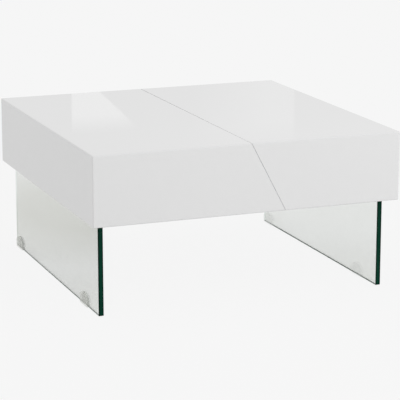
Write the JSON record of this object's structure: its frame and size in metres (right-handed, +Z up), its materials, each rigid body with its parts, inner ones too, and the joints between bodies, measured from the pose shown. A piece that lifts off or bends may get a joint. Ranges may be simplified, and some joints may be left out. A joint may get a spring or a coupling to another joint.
{
  "type": "lift top coffee table",
  "caption": "Square white gloss coffee table on glass panel legs; one half of the case is a lid that lifts level, up and outwards, over a storage tray.",
  "frame": {"origin": "on the floor under the middle of the square case", "axes": "+X along the table towards the lifting half, -Y to the front, +Z up"},
  "size_m": [0.75, 0.75, 0.38],
  "materials": {
    "gloss_lacquer": "gloss",
    "satin_lacquer": "satin",
    "bare_wood": "matte",
    "clear_glass": "polished",
    "clear_plastic": "satin",
    "rubber": "matte",
    "nylon": "matte",
    "grey_paint": "satin",
    "spring_steel": "satin",
    "zinc_steel": "satin"
  },
  "bodies": {
    "base": {"back_glide_left": "clear_plastic", "back_glide_right": "clear_plastic", "base_bracket_back": "grey_paint", "base_bracket_front": "grey_paint", "base_bracket_screws": "zinc_steel", "bottom_board": "satin_lacquer", "bottom_screws": "zinc_steel", "fascia_screws": "zinc_steel", "fixed_back_fascia": "gloss_lacquer", "fixed_end_board": "gloss_lacquer", "fixed_front_fascia": "gloss_lacquer", "fixed_top_board": "gloss_lacquer", "front_glide_left": "clear_plastic", "front_glide_right": "clear_plastic", "glass_leg_left": "clear_glass", "glass_leg_right": "clear_glass", "leg_board_left": "satin_lacquer", "leg_board_right": "satin_lacquer", "leg_bolts": "zinc_steel", "leg_bushes": "nylon", "leg_gaskets": "rubber", "leg_nuts": "zinc_steel", "leg_washers": "zinc_steel", "lid_bumpers": "rubber", "lower_pivot_clips": "zinc_steel", "lower_pivot_pins": "zinc_steel", "lower_pivot_washers": "nylon", "seam_stretcher": "bare_wood", "top_dowels": "bare_wood", "torsion_spring_back": "spring_steel", "torsion_spring_front": "spring_steel", "tray_rail_back": "satin_lacquer", "tray_rail_front": "satin_lacquer"},
    "lead_arms": {"cross_tube": "grey_paint", "lead_arm_back": "grey_paint", "lead_arm_front": "grey_paint", "tube_bushes": "nylon"},
    "lid": {"lid_back_fascia": "gloss_lacquer", "lid_bracket_back": "grey_paint", "lid_bracket_front": "grey_paint", "lid_bracket_screws": "zinc_steel", "lid_end_batten": "bare_wood", "lid_end_board": "gloss_lacquer", "lid_front_fascia": "gloss_lacquer", "lid_seam_batten": "bare_wood", "lid_top_board": "gloss_lacquer", "batten_screws": "zinc_steel", "upper_pivot_pins": "zinc_steel", "upper_pivot_washers": "nylon", "upper_pivot_clips": "zinc_steel"},
    "follower_front": {"follower_arm_front": "grey_paint"},
    "follower_back": {"follower_arm_back": "grey_paint"}
  },
  "joints": [
    {"name": "arm_swing", "type": "hinge", "parent": "base", "child": "lead_arms", "pos_m": [0.245, 0, 0.257], "axis": [0, 1, 0], "range_deg": [0, 99], "deforming": ["torsion_spring_front", "torsion_spring_back"]},
    {"name": "lid_level", "type": "hinge", "parent": "lead_arms", "child": "lid", "pos_m": [0.06135, 0, 0.2763], "axis": [0, 1, 0], "range_deg": [-99, 0]},
    {"name": "follower_swing_front", "type": "hinge", "parent": "base", "child": "follower_front", "pos_m": [0.299, -0.3342, 0.294], "axis": [0, 1, 0], "range_deg": [0, 99]},
    {"name": "follower_swing_back", "type": "hinge", "parent": "base", "child": "follower_back", "pos_m": [0.299, 0.3342, 0.294], "axis": [0, 1, 0], "range_deg": [0, 99]}
  ],
  "couplings": [
    {"joint": "lid_level", "follows": "arm_swing", "ratio": -1},
    {"joint": "follower_swing_front", "follows": "arm_swing", "ratio": 1},
    {"joint": "follower_swing_back", "follows": "arm_swing", "ratio": 1}
  ]
}
